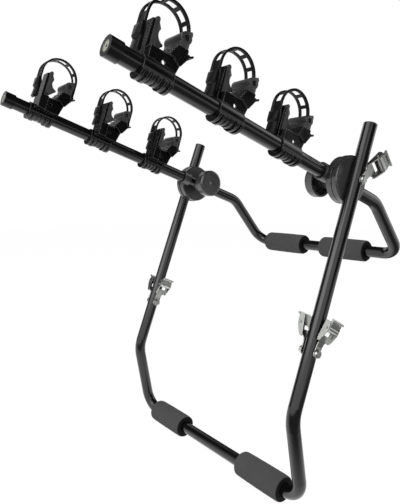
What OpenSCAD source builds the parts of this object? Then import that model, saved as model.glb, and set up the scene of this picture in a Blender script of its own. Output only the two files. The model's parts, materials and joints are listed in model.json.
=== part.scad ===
// Trunk mounted bike rack: a lower frame and a carry frame of bent steel tube that
// hinge on each other at two hubs, three cradles on each arm and six cam buckles.
// Millimetres. X is across the vehicle, Y points to the vehicle, Z is up.
// The origin is the middle of the lower bar's axis, between the lower pads.

/* [Lower frame] */
// Outside diameter of the frame tubes
tube_d = 28.6; // [27.6:0.1:29.4]
// Wall of the frame tubes
tube_wall = 1.8; // [1.4:0.1:2.4]
// Distance between the axes of the uprights
frame_w = 570.8; // [540:0.2:600]
// Length of the lower leg from the lower bar to the knee
lower_leg_len = 184.9; // [160:0.1:220]
// Lean of the lower leg away from the vehicle
lower_leg_lean = 10.4; // [4:0.1:16]
// Length of the upright from the knee to the hub
upright_len = 494.6; // [470:0.1:540]
// Lean of the upright towards the vehicle
upright_lean = 21; // [14:0.1:26]
// Length of the upright above the hub
stub_len = 119.3; // [90:0.1:150]
// Bend radius at the knees
knee_bend_r = 80; // [60:1:110]
// Bend radius at the ends of the lower bar
corner_bend_r = 45; // [36:1:46]

/* [Carry frame] */
// Gap between an upright and the arm beside it
hub_space = 16.8; // [15:0.1:20]
// Rise of the arms away from the vehicle
arm_rise = 18.4; // [10:0.1:24]
// Length of an arm from its third cradle to the face of its end cap
arm_end = 88.9; // [78:0.1:140]
// Straight length of the carry tube behind the hub, to the middle of its bend
back_len = 151; // [130:1:180]
// Drop of the legs behind that bend
leg_drop = 49.1; // [36:0.1:60]
// Length of a leg from the bend to the axis of the upper bar
leg_len = 172.8; // [150:0.1:210]
// Bend radius between arm and leg
leg_bend_r = 70; // [50:1:100]
// Bend radius at the ends of the upper bar
upper_bend_r = 42; // [34:1:42]

/* [Pads and caps] */
// Outside diameter of the foam pads
pad_d = 57; // [50:0.5:62]
// Length of a lower pad
lower_pad_len = 130; // [110:1:150]
// Distance of a lower pad's end from the bend of its bar
lower_pad_end = 0.4; // [0.4:0.2:12]
// Length of an upper pad
upper_pad_len = 140; // [120:1:142]
// Least distance of an upper pad's end from the bend of its bar
upper_pad_end = 2; // [1:0.5:14]
// Shift of the pair of upper pads along its bar
upper_pad_shift = -22; // [-22:1:22]
// Rounding of the pads' ends
pad_round = 6; // [4:0.5:14]
// Length of an arm's end cap
cap_len = 22; // [16:0.5:30]

/* [Hubs] */
// Diameter of the outer hub discs
disc_d = 101; // [92:0.5:106]
// Diameter of the inner hub discs
inner_disc_d = 98; // [90:0.5:104]
// Diameter of the hub bolts and the buckle bolts
bolt_d = 8; // [6:0.1:9]
// Diameter of the knobs
knob_d = 71; // [60:0.5:78]
// Depth of the knobs' rim
knob_depth = 22; // [18:0.5:24]
// Length of the necks between arms and knobs
neck_len = 28; // [24:0.5:34]

/* [Cradles] */
// Distance of the first cradle from the hub
cradle_1 = 163; // [150:1:168]
// Distance of the second cradle from the hub
cradle_2 = 322; // [318:1:326]
// Distance of the third cradle from the hub
cradle_3 = 475; // [470:1:490]
// Shift of the jaws towards the middle of the rack
head_shift = 20; // [14:0.5:26]
// Radius of the round seat in the jaw pad
seat_r = 13.2; // [12:0.1:13.4]
// Radius of the roll cushion
roll_r = 10.5; // [9.5:0.1:10.8]
// Width of the ladder straps
strap_w = 26; // [22:0.5:28]
// Thickness of the ladder straps
strap_t = 3.7; // [3:0.1:4]

/* [Buckles] */
// Distance of the lower buckles' bolt below the hub, along the upright
buckle_drop = 360; // [330:1:380]
// Width of a buckle's frame
buckle_w = 36; // [34:0.5:40]
// Length from the bolt to the cam pin
pin_reach = 54; // [52:0.5:58]
// Sheet thickness of the buckles
sheet_t = 2; // [1.6:0.1:2.4]
// Swing of the hub buckles from the upright's line
hub_swing = 30; // [0:1:60]
// Swing of the outer lower buckles from the upright's line
outer_swing = 8; // [-30:1:30]
// Swing of the inner lower buckles from the upright's line
inner_swing = 2; // [-30:1:30]

/* [Hidden] */
$fn = 64;
// gap between pieces that sit on one another, and of a running fit
seat_gap = 0.05;
run_gap = 0.06;
// gap between faces that move past each other
face_gap = 0.4;
over = 1;
// a straight length swells by a hair where a bend starts and dips into the bend
bend_lap = 3;
bend_lead = 8;
bend_swell = 0.08;
bend_dip = 0.18;
// turn of a bend's seam against that of the straight lengths
seam_turn = 40;
tube_r = tube_d / 2;
bore_r = tube_r - tube_wall;
bolt_r = bolt_d / 2;
up_x = frame_w / 2;
arm_x = up_x - tube_d - hub_space;
knee_y = -lower_leg_len * sin(lower_leg_lean);
knee_z = lower_leg_len * cos(lower_leg_lean);
hub_y = knee_y + upright_len * sin(upright_lean);
hub_z = knee_z + upright_len * cos(upright_lean);
top_y = hub_y + stub_len * sin(upright_lean);
top_z = hub_z + stub_len * cos(upright_lean);
bend_y = hub_y + back_len * cos(arm_rise);
bend_z = hub_z - back_len * sin(arm_rise);
bar_y = bend_y + leg_len * cos(leg_drop);
bar_z = bend_z - leg_len * sin(leg_drop);

// hub stack, from the upright inwards
outer_disc_t = 0.53 * hub_space;
split_x = up_x - tube_r - outer_disc_t;
lip = 5;
inner_lip = 7.5;
rim_groove = 1.4;
inner_rim = hub_space - outer_disc_t - face_gap + inner_lip;
collar_r = tube_r + 4.2;
collar_from = 38;
collar_to = 60;
neck_lip = 6.3;
neck_r = 22;
neck_end_r = 15;
neck_base_x = arm_x - tube_r + neck_lip;
neck_x = neck_base_x - neck_len;
knob_wall = 4;
rim_gap = 4;
knob_face_x = neck_x - rim_gap - knob_depth;
boss_r = 13;
nut_r = 7.5;
nut_t = 8;
nut_depth = 5;
head_r = 9;
head_t = 5;

// arm ends and pads
cap_wall = 3;
cap_skin = 2.2;
cap_mark_r = 9;
cap_mark_t = 1.2;
arm_len = cradle_3 + arm_end;
arm_tube_len = arm_len - cap_wall - seat_gap;
lower_pad_x = up_x - corner_bend_r - lower_pad_end - lower_pad_len / 2;
upper_pad_x = arm_x - upper_bend_r - upper_pad_end - upper_pad_len / 2 - abs(upper_pad_shift);
plug_t = 3;
plug_len = 16;

// cradle, in its own frame: u along the arm to the vehicle, v up, w outwards
sleeve_r = tube_r + 3.2;
sleeve_u = [-34, 22];
bore_len = 80;
sleeve_rib_r = tube_r + 8.2;
sleeve_rib_low = tube_r + 5.7;
sleeve_rib_n = 6;
sleeve_rib_t = 5;
sleeve_rib_arc = 130;
web_w = [-11 - head_shift, 6];
web_t = 3;
web_hole = [2, 20.5];
web_hole_r = 3.4;
cavity_v = tube_r + 3.2;
jaw_w = [-18 - head_shift, 8 - head_shift];
jaw_u = [-25, -19.3];
jaw_top = 84;
hook_w = [-20 - head_shift, 29 - head_shift];
roll_w = [-22 - head_shift, 28 - head_shift];
shelf_v = 57.5;
seat = [4.5, 67];
seat_from = 146;
seat_to = 264;
roll_at = [29.5, 74.5];
roll_foot = 16;
roll_hole_r = 4.6;
roll_hole_t = 5;
roll_crest = [[24, 83.2], [37.4, 88.4], [39.6, 84], [38, 71]];
jaw_pad_foot = [[-7, 40], [3.2, 50.5]];
jaw_pad_tip = [-11.5, 87];
ridge_n = 4;
ridge_r = 1.7;
ridge_low = [8.5, 38.5];
ridge_high = [17.6, 55.4];
arch = [3.5, 86.5];
arch_r = 41.5;
barrel = [arch[0] + arch_r - strap_t / 2, 55];
barrel_r = 3.6;
hook_r = 7.5;
hook_cut = 51.5;
hook_bead_r = 2;
strap_mid_w = -3 - head_shift;
slot_n = 5;
slot_len = 18;
slot_w = 13;
tab_step = 3;
tab_depth = 6.5;
tab_foot = [24, 27];
tab_top = 72;
tab_edge = [50, 68];
tab_waist = [0.5, 47];
tab_back = 60;
tab_lap = 17;

// buckle, in its own frame: x off the tube, y across, z along
eye_r = 10;
neck_w = 18;
fold_z = 14;
fold_lean = 9;
pin_z = pin_reach - fold_z;
pin_x = 9;
pin_r = 2.5;
pin_out = 3;
window_z = 25;
window_w = 26;
window_len = 8.5;
ear_z = [11, 55];
ear_h = 14;
ear_tip = 7;
cam_r = 6.4;
plate_x = pin_x + 5.6;
plate_t = 3;
lip_r = 2.6;
groove_z = 5;
groove_w = 2.2;
groove_t = 1.4;

black = [0.05, 0.05, 0.055];
grey = [0.16, 0.16, 0.17];
foam = [0.13, 0.13, 0.14];
zinc = [0.72, 0.71, 0.62];

// Vectors and bent tubes

function unit(v) = v / norm(v);
function leg_dir(p, i) = unit(p[i + 1] - p[i]);
function bend_angle(p, i) = acos(leg_dir(p, i - 1) * leg_dir(p, i));
function bend_cut(p, r, i) =
    i == 0 || i == len(p) - 1 ? 0 : r[i] * tan(bend_angle(p, i) / 2);

// Direction towards the inside of bend i, and the axis that it turns about
function bend_in(p, i) =
    let (d = leg_dir(p, i - 1), e = leg_dir(p, i)) unit(e - d * (d * e));
function bend_axis(p, i) = cross(leg_dir(p, i - 1), bend_in(p, i));

// Direction of the tube's seam on straight length i, carried round the bends from X
function seam(p, i) =
    i == 0 ? [1, 0, 0] :
    let (v = seam(p, i - 1), d = leg_dir(p, i - 1), n = bend_in(p, i),
         z = bend_axis(p, i), a = bend_angle(p, i))
    (v * z) * z - (v * n) * (d * sin(a) - n * cos(a));

// Places children at a with x, y and z along the given directions
module framed(a, x, y, z) {
    multmatrix([
        [x[0], y[0], z[0], a[0]],
        [x[1], y[1], z[1], a[1]],
        [x[2], y[2], z[2], a[2]]
    ]) children();
}

// Straight length along z from 0 to h, with a lap into a bend at the chosen ends
module straight_bar(rad, h, bend_before, bend_after) {
    rotate_extrude() polygon(concat(
        [[0, bend_before ? -bend_lap : 0]],
        bend_before
            ? [[rad - bend_dip, -bend_lap], [rad + bend_swell, 0], [rad, bend_lead]]
            : [[rad, 0]],
        bend_after
            ? [[rad, h - bend_lead], [rad + bend_swell, h], [rad - bend_dip, h + bend_lap]]
            : [[rad, h]],
        [[0, bend_after ? h + bend_lap : h]]
    ));
}

// Round bar of radius rad along the corner points p, with the bend radii r
module bent_bar(p, r, rad, more = 0) {
    last = len(p) - 2;
    for (i = [0:last]) {
        d = leg_dir(p, i);
        a = p[i] + d * (bend_cut(p, r, i) - (i == 0 ? more : 0));
        b = p[i + 1] - d * (bend_cut(p, r, i + 1) - (i == last ? more : 0));
        framed(a, seam(p, i), cross(d, seam(p, i)), d)
            straight_bar(rad, norm(b - a), i > 0, i < last);
    }
    for (i = [1:last]) {
        d = leg_dir(p, i - 1);
        n = bend_in(p, i);
        z = bend_axis(p, i);
        v = seam(p, i - 1);
        framed(p[i] - d * bend_cut(p, r, i) + n * r[i], -n, d, z)
            rotate_extrude(angle = bend_angle(p, i))
                translate([r[i], 0]) rotate(atan2(v * z, -(v * n)) + seam_turn) circle(rad);
    }
}

module bent_tube(p, r) {
    difference() {
        bent_bar(p, r, tube_r);
        bent_bar(p, r, bore_r, over);
    }
}

// Places

// Left pieces are the mirror image of right pieces
module on_side(side) {
    mirror([side < 0 ? 1 : 0, 0, 0]) children();
}

// Children's z axis points outwards along the hub's axis
module at_hub() {
    translate([0, hub_y, hub_z]) rotate([0, 90, 0]) children();
}

// Children's y axis points along the arm to the vehicle, from the hub
module on_arm_line() {
    translate([arm_x, hub_y, hub_z]) rotate([-arm_rise, 0, 0]) children();
}

// Children's x, y and z are a cradle's w, u and v
module at_cradle(side, s) {
    on_side(side) on_arm_line() translate([0, -s, 0]) children();
}

// Children's z axis runs up along the upright from a point below the hub
module on_upright(x, drop, swing) {
    translate([x, hub_y - drop * sin(upright_lean), hub_z - drop * cos(upright_lean)])
        rotate([-upright_lean - swing, 0, 0]) children();
}

module at_buckle(side, place) {
    drop = place == "hub" ? 0 : buckle_drop;
    swing = place == "hub" ? hub_swing : place == "outer" ? outer_swing : inner_swing;
    turned = place == "inner" ? 1 : 0;
    x = up_x + (turned == 1 ? -1 : 1) * (tube_r + face_gap);
    on_side(side) on_upright(x, drop, swing) mirror([turned, 0, 0]) children();
}

// Extrudes a profile drawn in u and v along w
module along_w(w) {
    translate([w[0], 0, 0]) rotate([90, 0, 90]) linear_extrude(w[1] - w[0]) children();
}

// Round bar along w at a point in u and v
module bar_w(at, w, r) {
    along_w(w) translate(at) circle(r);
}

// Extrudes a profile drawn in z and x across a buckle, w wide about its middle
module across(w) {
    rotate([90, 0, 0])
        mirror([1, -1, 0])
            translate([0, 0, -w / 2]) linear_extrude(w) children();
}

// Frame tubes

lower_path = [
    [up_x, top_y, top_z], [up_x, knee_y, knee_z], [up_x, 0, 0],
    [-up_x, 0, 0], [-up_x, knee_y, knee_z], [-up_x, top_y, top_z]
];
lower_bends = [0, knee_bend_r, corner_bend_r, corner_bend_r, knee_bend_r, 0];
arm_end_y = hub_y - arm_tube_len * cos(arm_rise);
arm_end_z = hub_z + arm_tube_len * sin(arm_rise);
carry_path = [
    [arm_x, arm_end_y, arm_end_z], [arm_x, bend_y, bend_z], [arm_x, bar_y, bar_z],
    [-arm_x, bar_y, bar_z], [-arm_x, bend_y, bend_z], [-arm_x, arm_end_y, arm_end_z]
];
carry_bends = [0, leg_bend_r, upper_bend_r, upper_bend_r, leg_bend_r, 0];

module cross_hole(r, x) {
    rotate([0, 90, 0]) translate([0, 0, x - tube_r - over]) cylinder(r = r, h = tube_d + 2 * over);
}

module lower_frame_tube() {
    color(black) difference() {
        bent_tube(lower_path, lower_bends);
        for (side = [-1, 1]) on_side(side) {
            on_upright(0, 0, 0) cross_hole(bolt_r + seat_gap, up_x);
            on_upright(0, buckle_drop, 0) cross_hole(bolt_r + seat_gap, up_x);
        }
    }
}

module carry_tube() {
    color(black) difference() {
        bent_tube(carry_path, carry_bends);
        for (side = [-1, 1]) on_side(side)
            translate([0, hub_y, hub_z]) cross_hole(bolt_r + run_gap, arm_x);
    }
}

module upright_plugs() {
    color(black) for (side = [-1, 1]) on_side(side)
        on_upright(up_x, -stub_len, 0) {
            translate([0, 0, -plug_len]) cylinder(r = bore_r - seat_gap, h = plug_len + over);
            translate([0, 0, seat_gap]) cylinder(r = tube_r, h = plug_t);
        }
}

// Cup over the arm's end, with a shallow round mark in its face
module arm_cap(side) {
    color(black) on_side(side) on_arm_line() rotate([90, 0, 0])
        translate([0, 0, arm_len - cap_len]) difference() {
            cylinder(r = tube_r + cap_skin, h = cap_len);
            translate([0, 0, -over]) cylinder(r = tube_r + seat_gap, h = cap_len - cap_wall + over);
            translate([0, 0, cap_len - cap_mark_t]) cylinder(r = cap_mark_r, h = cap_mark_t + over);
        }
}

module left_arm_cap() arm_cap(-1);
module right_arm_cap() arm_cap(1);

// Pads

// Foam roller along X about its own middle
module pad(length) {
    flat = length / 2 - pad_round;
    rotate([0, 90, 0]) rotate_extrude() difference() {
        union() {
            translate([0, -flat]) square([pad_d / 2, 2 * flat]);
            translate([0, -length / 2]) square([pad_d / 2 - pad_round, length]);
            for (end = [-1, 1]) translate([pad_d / 2 - pad_round, end * flat]) circle(pad_round);
        }
        translate([-pad_d, -length]) square([pad_d + tube_r + seat_gap, 2 * length]);
    }
}

module lower_pad(side) {
    color(foam) translate([side * lower_pad_x, 0, 0]) pad(lower_pad_len);
}

module upper_pad(side) {
    color(foam) translate([side * upper_pad_x + upper_pad_shift, bar_y, bar_z]) pad(upper_pad_len);
}

module left_lower_pad() lower_pad(-1);
module right_lower_pad() lower_pad(1);
module left_upper_pad() upper_pad(-1);
module right_upper_pad() upper_pad(1);

// Hubs

module upright_core(r) {
    on_upright(up_x, 0, 0) translate([0, 0, -disc_d]) cylinder(r = r, h = 2 * disc_d);
}

module arm_core(r) {
    on_arm_line() translate([0, disc_d, 0]) rotate([90, 0, 0]) cylinder(r = r, h = 2 * disc_d);
}

// Disc fixed to the upright, with lips that hug the tube and a step at the joint of the discs
module outer_disc(side) {
    rounding = 3;
    rim = outer_disc_t + lip;
    color(grey) on_side(side) difference() {
        at_hub() translate([0, 0, split_x]) rotate_extrude() union() {
            translate([0, rim_groove]) square([disc_d / 2, rim - rounding - rim_groove]);
            square([disc_d / 2 - rounding, rim]);
            translate([disc_d / 2 - rounding, rim - rounding]) circle(rounding);
        }
        upright_core(tube_r + seat_gap);
        at_hub() cylinder(r = bolt_r + seat_gap, h = frame_w);
    }
}

// Disc fixed to the carry tube, with a collar round the tube on either side
module inner_disc(side) {
    face_x = split_x - face_gap;
    rounding = 3;
    color(grey) on_side(side) difference() {
        union() {
            at_hub() translate([0, 0, face_x - inner_rim]) rotate_extrude() union() {
                translate([0, rounding]) square([inner_disc_d / 2, inner_rim - rounding - rim_groove]);
                square([inner_disc_d / 2 - rounding, inner_rim]);
                translate([inner_disc_d / 2 - rounding, rounding]) circle(rounding);
            }
            for (way = [0, 180]) on_arm_line() rotate([90, 0, way])
                translate([0, 0, collar_from])
                    cylinder(r = min(collar_r, face_x - arm_x), h = collar_to - collar_from);
        }
        arm_core(tube_r + seat_gap);
        at_hub() cylinder(r = bolt_r + run_gap, h = frame_w);
    }
}

// Conical piece between the carry tube and the knob
module neck(side) {
    step = 3;
    color(grey) on_side(side) difference() {
        at_hub() translate([0, 0, neck_x]) {
            cylinder(r1 = neck_end_r, r2 = neck_r, h = neck_len - step);
            translate([0, 0, neck_len - step]) cylinder(r = neck_r, h = step);
        }
        arm_core(tube_r + seat_gap);
        at_hub() cylinder(r = bolt_r + run_gap, h = frame_w);
    }
}

module left_outer_disc() outer_disc(-1);
module right_outer_disc() outer_disc(1);
module left_inner_disc() inner_disc(-1);
module right_inner_disc() inner_disc(1);
module left_neck() neck(-1);
module right_neck() neck(1);

// Cup with its hollow side to the tube and a hexagonal pocket in its face
module knob(side) {
    r = knob_d / 2;
    rounding = 7;
    boss = neck_x - face_gap - knob_face_x;
    color(black) on_side(side) at_hub() translate([0, 0, knob_face_x]) difference() {
        union() {
            rotate_extrude() difference() {
                union() {
                    square([r - rounding, knob_depth]);
                    translate([0, rounding]) square([r, knob_depth - rounding]);
                    translate([r - rounding, rounding]) circle(rounding);
                }
                translate([0, knob_wall + rounding]) square([r - knob_wall, knob_depth]);
                translate([0, knob_wall]) square([r - knob_wall - rounding, knob_depth]);
                translate([r - knob_wall - rounding, knob_wall + rounding]) circle(rounding);
            }
            cylinder(r = boss_r, h = boss);
        }
        translate([0, 0, -over]) cylinder(r = bolt_r + run_gap, h = boss + 2 * over);
        translate([0, 0, -over]) cylinder(r = nut_r, h = nut_depth + nut_t + over, $fn = 6);
    }
}

module knob_nut(side) {
    color(zinc) on_side(side) at_hub() translate([0, 0, knob_face_x + nut_depth]) difference() {
        cylinder(r = nut_r - seat_gap, h = nut_t - seat_gap, $fn = 6);
        translate([0, 0, -over]) cylinder(r = bolt_r + run_gap, h = nut_t + 2 * over);
    }
}

module left_knob() knob(-1);
module right_knob() knob(1);
module left_knob_nut() knob_nut(-1);
module right_knob_nut() knob_nut(1);

// Low round head that stands on z = 0
module bolt_head() {
    rounding = 3;
    rotate_extrude() union() {
        square([head_r, head_t - rounding]);
        square([head_r - rounding, head_t]);
        translate([head_r - rounding, head_t - rounding]) intersection() {
            circle(rounding);
            square(rounding);
        }
    }
}

// Outer face of a buckle's eye
eye_x = up_x + tube_r + face_gap + sheet_t;

module hub_bolts() {
    tip_x = knob_face_x + 3;
    color(zinc) for (side = [-1, 1]) on_side(side) at_hub() {
        translate([0, 0, tip_x]) cylinder(r = bolt_r, h = eye_x + 2 * face_gap - tip_x);
        translate([0, 0, eye_x + face_gap]) bolt_head();
    }
}

module buckle_bolts() {
    length = 2 * (eye_x - up_x + face_gap);
    color(zinc) for (side = [-1, 1]) on_side(side)
        on_upright(up_x, buckle_drop, 0) rotate([0, 90, 0]) {
            translate([0, 0, -length / 2 - nut_t]) cylinder(r = bolt_r, h = length + nut_t + over);
            translate([0, 0, length / 2]) bolt_head();
            translate([0, 0, -length / 2 - nut_t + over]) cylinder(r = nut_r, h = nut_t - over, $fn = 6);
        }
}

// Cradles

jaw_profile = [
    [jaw_u[0] - 1, 5], [jaw_u[0], jaw_top], [jaw_u[1], jaw_top], [jaw_u[1], 36], [-8, 36], [-8, 5]
];
web_profile = [
    [-25, 5], [-25, 36], [7, 36], [18.5, shelf_v], [33, shelf_v], [31, 28], [29, 21], [25, 5]
];
web_cavity = [
    [-20, cavity_v], [-20, 32], [5, 32], [16, 53], [40, 53], [40, cavity_v]
];
hook_profile = [
    [7, 36], [18.5, shelf_v], [barrel[0] - 5, shelf_v], [barrel[0] - 5, 49],
    [barrel[0], 47.8], [31, 28], [28.5, 27], [14, 36]
];
hook_cavity = [
    [14.5, 38], [21.5, 52.5], [32, 52.5], [32, 46.5], [barrel[0] - 1.5, 46.5], [33, 20], [10, 20]
];

// Opening in the inner walls of pedestal and hook, on the right arm only
side_window = [[12, 30], [18, 48], [50, 48], [50, 20], [26, 20]];

// Sleeve on the arm with ribs under it, pedestal, outer jaw plate and the hook for the strap
module cradle(side, s) {
    color(black) at_cradle(side, s) difference() {
        union() {
            cradle_sleeve();
            difference() {
                along_w(web_w) polygon(web_profile);
                along_w(web_w + [web_t, -web_t]) polygon(web_cavity);
                bar_w(web_hole, web_w + [-over, over], web_hole_r);
            }
            along_w(jaw_w) polygon(jaw_profile);
            difference() {
                cradle_hook();
                along_w(hook_w + [web_t, -web_t]) polygon(hook_cavity);
            }
            for (i = [0:ridge_n - 1])
                bar_w(ridge_low + (ridge_high - ridge_low) * i / (ridge_n - 1), hook_w, ridge_r);
        }
        translate([0, sleeve_u[0] - over, 0]) rotate([-90, 0, 0])
            cylinder(r = tube_r + seat_gap, h = bore_len);
        bar_w(seat, jaw_w + [-over, over], seat_r + face_gap);
        if (side > 0)
            along_w([hook_w[0] - over, web_w[0] + web_t + over]) polygon(side_window);
    }
}

module cradle_sleeve() {
    length = sleeve_u[1] - sleeve_u[0];
    pitch = (length - sleeve_rib_t) / (sleeve_rib_n - 1);
    translate([0, sleeve_u[0], 0]) rotate([-90, 0, 0]) {
        cylinder(r = sleeve_r, h = length);
        for (i = [0:sleeve_rib_n - 1]) {
            low = abs(2 * i - sleeve_rib_n + 1) < 2;
            translate([0, 0, i * pitch]) rotate(90 - sleeve_rib_arc / 2)
                rotate_extrude(angle = sleeve_rib_arc) translate([tube_r + over, 0])
                    square([(low ? sleeve_rib_low : sleeve_rib_r) - tube_r - over, sleeve_rib_t]);
        }
    }
}

// Bracket under the roll, ending in a half-round seat for the strap's barrel
module cradle_hook() {
    mid_r = (hook_r + barrel_r + face_gap) / 2;
    drop = barrel[1] - hook_cut;
    along_w(hook_w) difference() {
        union() {
            polygon(hook_profile);
            difference() {
                translate(barrel) circle(hook_r);
                translate([barrel[0] - 5, hook_cut]) square(4 * hook_r);
                translate([barrel[0] - 2 * hook_r, shelf_v]) square(4 * hook_r);
            }
            translate(barrel + [sqrt(mid_r * mid_r - drop * drop), -drop]) circle(hook_bead_r);
        }
        translate(barrel) circle(barrel_r + face_gap);
        translate([barrel[0] - barrel_r - face_gap, barrel[1]]) square(4 * hook_r);
    }
}

// Rubber pad on the outer jaw and rubber roll on the bracket
module cushions(side, s) {
    back = jaw_u[1] + seat_gap;
    tip_r = (jaw_pad_tip[0] - back) / 2;
    seat_start = seat + seat_r * [cos(seat_from), sin(seat_from)];
    seat_end = seat + seat_r * [cos(seat_to), sin(seat_to)];
    color(grey) at_cradle(side, s) {
        along_w(jaw_w) difference() {
            union() {
                polygon([
                    [back, jaw_pad_foot[0][1]], jaw_pad_foot[0], jaw_pad_foot[1],
                    seat_end, seat, seat_start, jaw_pad_tip, [back, jaw_pad_tip[1]]
                ]);
                translate([back + tip_r, jaw_pad_tip[1]]) circle(tip_r);
            }
            translate(seat) circle(seat_r);
        }
        difference() {
            along_w(roll_w) union() {
                translate(roll_at) circle(roll_r);
                translate([roll_at[0] - roll_foot / 2, shelf_v + seat_gap])
                    square([roll_foot, roll_at[1] - shelf_v]);
                polygon(roll_crest);
            }
            for (end = roll_w)
                bar_w(roll_at, [end - roll_hole_t, end + roll_hole_t], roll_hole_r);
        }
    }
}

// Ladder strap: barrel in the hook, slotted arch over the seat, pull tab outside the jaw
module strap(side, s) {
    w = [strap_mid_w - strap_w / 2, strap_mid_w + strap_w / 2];
    right = arch[0] + arch_r;
    left = arch[0] - arch_r;
    color(grey) at_cradle(side, s) difference() {
        union() {
            along_w(w) difference() {
                union() {
                    translate(arch) circle(arch_r);
                    translate([left, arch[1] - tab_lap]) square([2 * arch_r, tab_lap]);
                    translate([right - strap_t, barrel[1]]) square([strap_t, arch[1] - barrel[1]]);
                }
                translate(arch) circle(arch_r - strap_t);
                translate([left + strap_t, 0]) square([2 * (arch_r - strap_t), arch[1]]);
            }
            bar_w(barrel, w, barrel_r);
            strap_tab(w, left);
        }
        for (i = [0:slot_n - 1])
            translate([strap_mid_w, arch[0], arch[1]])
                rotate([180 / slot_n * (i + 0.5), 0, 0])
                    translate([-slot_w / 2, arch_r - 2 * strap_t, -slot_len / 2])
                        cube([slot_w, 3 * strap_t, slot_len]);
    }
}

// Pull tab in two steps
module strap_tab(w, left) {
    along_w(w) polygon([
        [left, tab_top], [left - tab_step, tab_edge[1]], [left - tab_step, tab_edge[0]],
        [left + tab_waist[0], tab_waist[1]],
        [left - 1, tab_foot[1]], [left + tab_step, tab_foot[0]], [left + tab_depth, tab_foot[1]],
        [left + tab_depth, tab_back], [left + strap_t, tab_top]
    ]);
}

module left_cradle_1() cradle(-1, cradle_1);
module left_cradle_2() cradle(-1, cradle_2);
module left_cradle_3() cradle(-1, cradle_3);
module right_cradle_1() cradle(1, cradle_1);
module right_cradle_2() cradle(1, cradle_2);
module right_cradle_3() cradle(1, cradle_3);
module left_cushions_1() cushions(-1, cradle_1);
module left_cushions_2() cushions(-1, cradle_2);
module left_cushions_3() cushions(-1, cradle_3);
module right_cushions_1() cushions(1, cradle_1);
module right_cushions_2() cushions(1, cradle_2);
module right_cushions_3() cushions(1, cradle_3);
module left_strap_1() strap(-1, cradle_1);
module left_strap_2() strap(-1, cradle_2);
module left_strap_3() strap(-1, cradle_3);
module right_strap_1() strap(1, cradle_1);
module right_strap_2() strap(1, cradle_2);
module right_strap_3() strap(1, cradle_3);

// Cam buckles

// The buckle's body leans off the tube from its fold on
module on_body() {
    translate([0, 0, fold_z]) rotate([0, fold_lean, 0]) children();
}

// Sheet of the buckle drawn in y and z, standing on x = 0
module sheet() {
    rotate([90, 0, 90]) linear_extrude(sheet_t) children();
}

module buckle_ear(y) {
    translate([0, y, 0]) across(sheet_t)
        polygon([
            [ear_z[0], sheet_t], [ear_z[0] + 2, ear_tip], [pin_z - 7, ear_h], [pin_z + 7, ear_h],
            [ear_z[1] - 2, pin_x + 2], [ear_z[1], pin_x - 3], [ear_z[1], 0], [ear_z[0] + 6, 0]
        ]);
}

// Stamped frame: eye and neck on the tube, body with window and ears
module buckle(side, place) {
    half = buckle_w / 2;
    color(zinc) at_buckle(side, place) difference() {
        union() {
            sheet() union() {
                circle(eye_r);
                translate([-neck_w / 2, 0]) square([neck_w, fold_z]);
            }
            on_body() {
                sheet() difference() {
                    polygon([
                        [-neck_w / 2, 0], [neck_w / 2, 0], [neck_w / 2, 9], [half, 16],
                        [half, ear_z[1]], [-half, ear_z[1]], [-half, 16], [-neck_w / 2, 9]
                    ]);
                    translate([-window_w / 2, window_z]) square([window_w, window_len]);
                }
                for (y = [-1, 1]) buckle_ear(y * (half - sheet_t / 2));
            }
        }
        translate([-over, 0, 0]) rotate([0, 90, 0])
            cylinder(r = bolt_r + run_gap, h = sheet_t + 2 * over);
        on_body() translate([pin_x, -half - over, pin_z]) rotate([-90, 0, 0])
            cylinder(r = pin_r + seat_gap, h = buckle_w + 2 * over);
    }
}

module pin(side, place) {
    length = buckle_w + 2 * pin_out;
    color(zinc) at_buckle(side, place) on_body()
        translate([pin_x, -length / 2, pin_z]) rotate([-90, 0, 0]) cylinder(r = pin_r, h = length);
}

// Cam on the pin, with a grooved plate between the ears and a lip past their ends
module lever(side, place) {
    inside = buckle_w - 2 * sheet_t - 2 * face_gap;
    lip_z = ear_z[1] + face_gap + lip_r;
    color(zinc) at_buckle(side, place) on_body() difference() {
        union() {
            across(inside) union() {
                translate([pin_z, pin_x]) circle(cam_r);
                polygon([
                    [pin_z - 3, plate_x], [lip_z, plate_x],
                    [lip_z, plate_x - plate_t], [pin_z + 5.5, pin_x - 2]
                ]);
            }
            across(buckle_w) translate([lip_z, plate_x]) circle(lip_r);
        }
        across(inside - 2 * groove_z) translate([lip_z - groove_z, plate_x - groove_t])
            square([groove_w, 2 * groove_t]);
        translate([pin_x, -buckle_w, pin_z]) rotate([-90, 0, 0])
            cylinder(r = pin_r + run_gap, h = 2 * buckle_w);
    }
}

module left_hub_buckle() buckle(-1, "hub");
module left_outer_buckle() buckle(-1, "outer");
module left_inner_buckle() buckle(-1, "inner");
module right_hub_buckle() buckle(1, "hub");
module right_outer_buckle() buckle(1, "outer");
module right_inner_buckle() buckle(1, "inner");
module left_hub_pin() pin(-1, "hub");
module left_outer_pin() pin(-1, "outer");
module left_inner_pin() pin(-1, "inner");
module right_hub_pin() pin(1, "hub");
module right_outer_pin() pin(1, "outer");
module right_inner_pin() pin(1, "inner");
module left_hub_lever() lever(-1, "hub");
module left_outer_lever() lever(-1, "outer");
module left_inner_lever() lever(-1, "inner");
module right_hub_lever() lever(1, "hub");
module right_outer_lever() lever(1, "outer");
module right_inner_lever() lever(1, "inner");

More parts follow.
